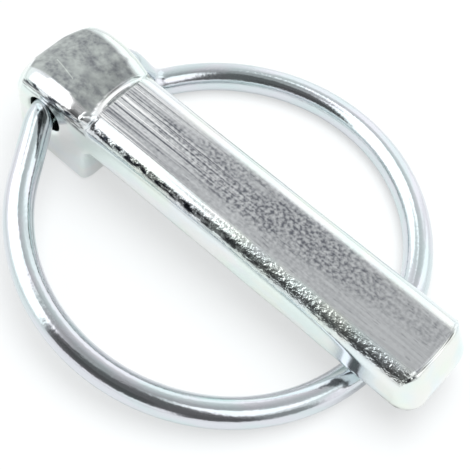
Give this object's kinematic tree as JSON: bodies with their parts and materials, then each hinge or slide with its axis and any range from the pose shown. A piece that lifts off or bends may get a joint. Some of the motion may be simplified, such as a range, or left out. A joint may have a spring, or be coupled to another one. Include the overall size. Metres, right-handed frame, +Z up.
{
  "type": "linch pin",
  "caption": "Steel linch pin: a blunt bar with a raised head and a shoulder lug, and a wire ring that swings in the head's cross bore and closes against the shank.",
  "frame": {"origin": "on the table, under the middle of the pin's overall box", "axes": "+X along the shank from the head to the tip, +Z up from the table that the pin lies on, flat side up"},
  "size_m": [0.0568, 0.047, 0.013],
  "materials": {
    "plated_forging": "zinc plated forging, satin with scored flat",
    "plated_wire": "bright zinc plated drawn wire"
  },
  "bodies": {
    "pin": {"pin_body": "plated_forging"},
    "ring": {"snap_ring": "plated_wire"}
  },
  "joints": [
    {"name": "ring_swing", "type": "hinge", "parent": "pin", "child": "ring", "pos_m": [-0.02268, 0, 0.00725], "axis": [0, 1, 0], "range_deg": [0, 346.5]}
  ]
}
